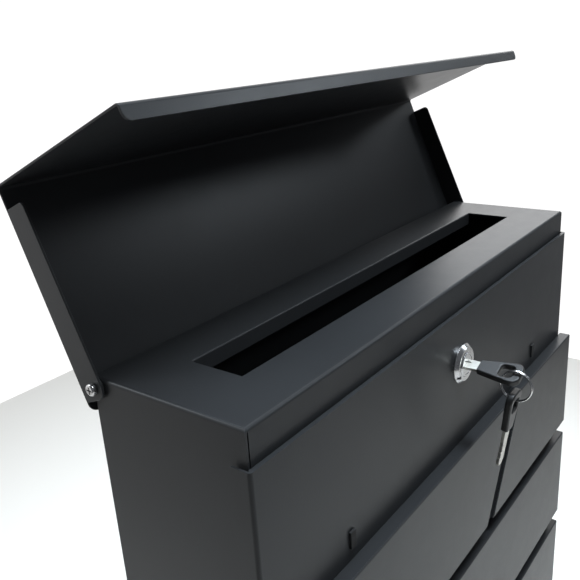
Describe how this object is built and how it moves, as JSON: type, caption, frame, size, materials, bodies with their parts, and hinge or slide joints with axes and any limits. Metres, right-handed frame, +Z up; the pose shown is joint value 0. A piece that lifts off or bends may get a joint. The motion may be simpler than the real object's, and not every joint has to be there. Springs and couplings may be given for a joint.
{
  "type": "wall-mounted drop box",
  "caption": "Shallow folded-steel wall drop box: a posting slot in the top under a tilting lid, and a drop-down front door with raised panels, a cam lock and keys on a ring.",
  "frame": {"origin": "centre of the four wall holes, on the back panel's outer face", "axes": "+X to the right seen from the front, +Y into the wall, +Z up"},
  "size_m": [0.4116, 0.191, 0.527],
  "materials": {
    "paint": "satin anthracite powder coat",
    "chrome": "polished",
    "steel": "zinc plated",
    "spring_steel": "dull",
    "nickel": "nickel plated",
    "bow_plastic": "satin",
    "nylon": "matt",
    "rubber": "matt"
  },
  "bodies": {
    "box": {"body_wrap": "paint", "back_panel": "paint", "bottom_panel": "paint", "lid_pivot_screws": "chrome", "lid_pivot_washers": "nylon", "lid_clinch_nuts": "steel", "door_hinge_pins": "steel", "door_hinge_bushes": "nylon"},
    "door": {"door_pan": "paint", "upper_left_panel": "paint", "upper_right_panel": "paint", "middle_panel": "paint", "lower_panel": "paint", "panel_studs": "steel", "stud_nuts": "spring_steel", "lid_bumpers": "rubber", "lock_housing": "chrome", "lock_nut": "steel"},
    "lid": {"lid": "paint"},
    "plug": {"lock_plug": "chrome", "lock_cam": "steel", "cam_washer": "spring_steel", "cam_nut": "steel"},
    "key": {"key_blade": "nickel", "key_bow": "bow_plastic"},
    "ring": {"key_ring": "nickel"},
    "spare_key": {"spare_key_blade": "nickel", "spare_key_bow": "bow_plastic"}
  },
  "joints": [
    {"name": "lid_hinge", "type": "hinge", "parent": "box", "child": "lid", "pos_m": [0, -0.0026, 0.1943], "axis": [1, 0, 0], "range_deg": [0, 80]},
    {"name": "door_hinge", "type": "hinge", "parent": "box", "child": "door", "pos_m": [0, -0.0906, -0.1948], "axis": [1, 0, 0], "range_deg": [0, 95]},
    {"name": "lock_turn", "type": "hinge", "parent": "door", "child": "plug", "pos_m": [0, -0.095, 0.1457], "axis": [0, 1, 0], "range_deg": [0, 90]},
    {"name": "key_pull", "type": "slide", "parent": "plug", "child": "key", "axis": [0, -1, 0], "range_m": [0, 0.02]},
    {"name": "ring_swing", "type": "hinge", "parent": "key", "child": "ring", "pos_m": [-0.002, -0.1346, 0.14497], "axis": [1, 0, 0], "range_deg": [-18, 6]},
    {"name": "spare_key_swing", "type": "hinge", "parent": "ring", "child": "spare_key", "pos_m": [-0.002, -0.1346, 0.1396], "axis": [1, 0, 0], "range_deg": [-18, 6]}
  ]
}
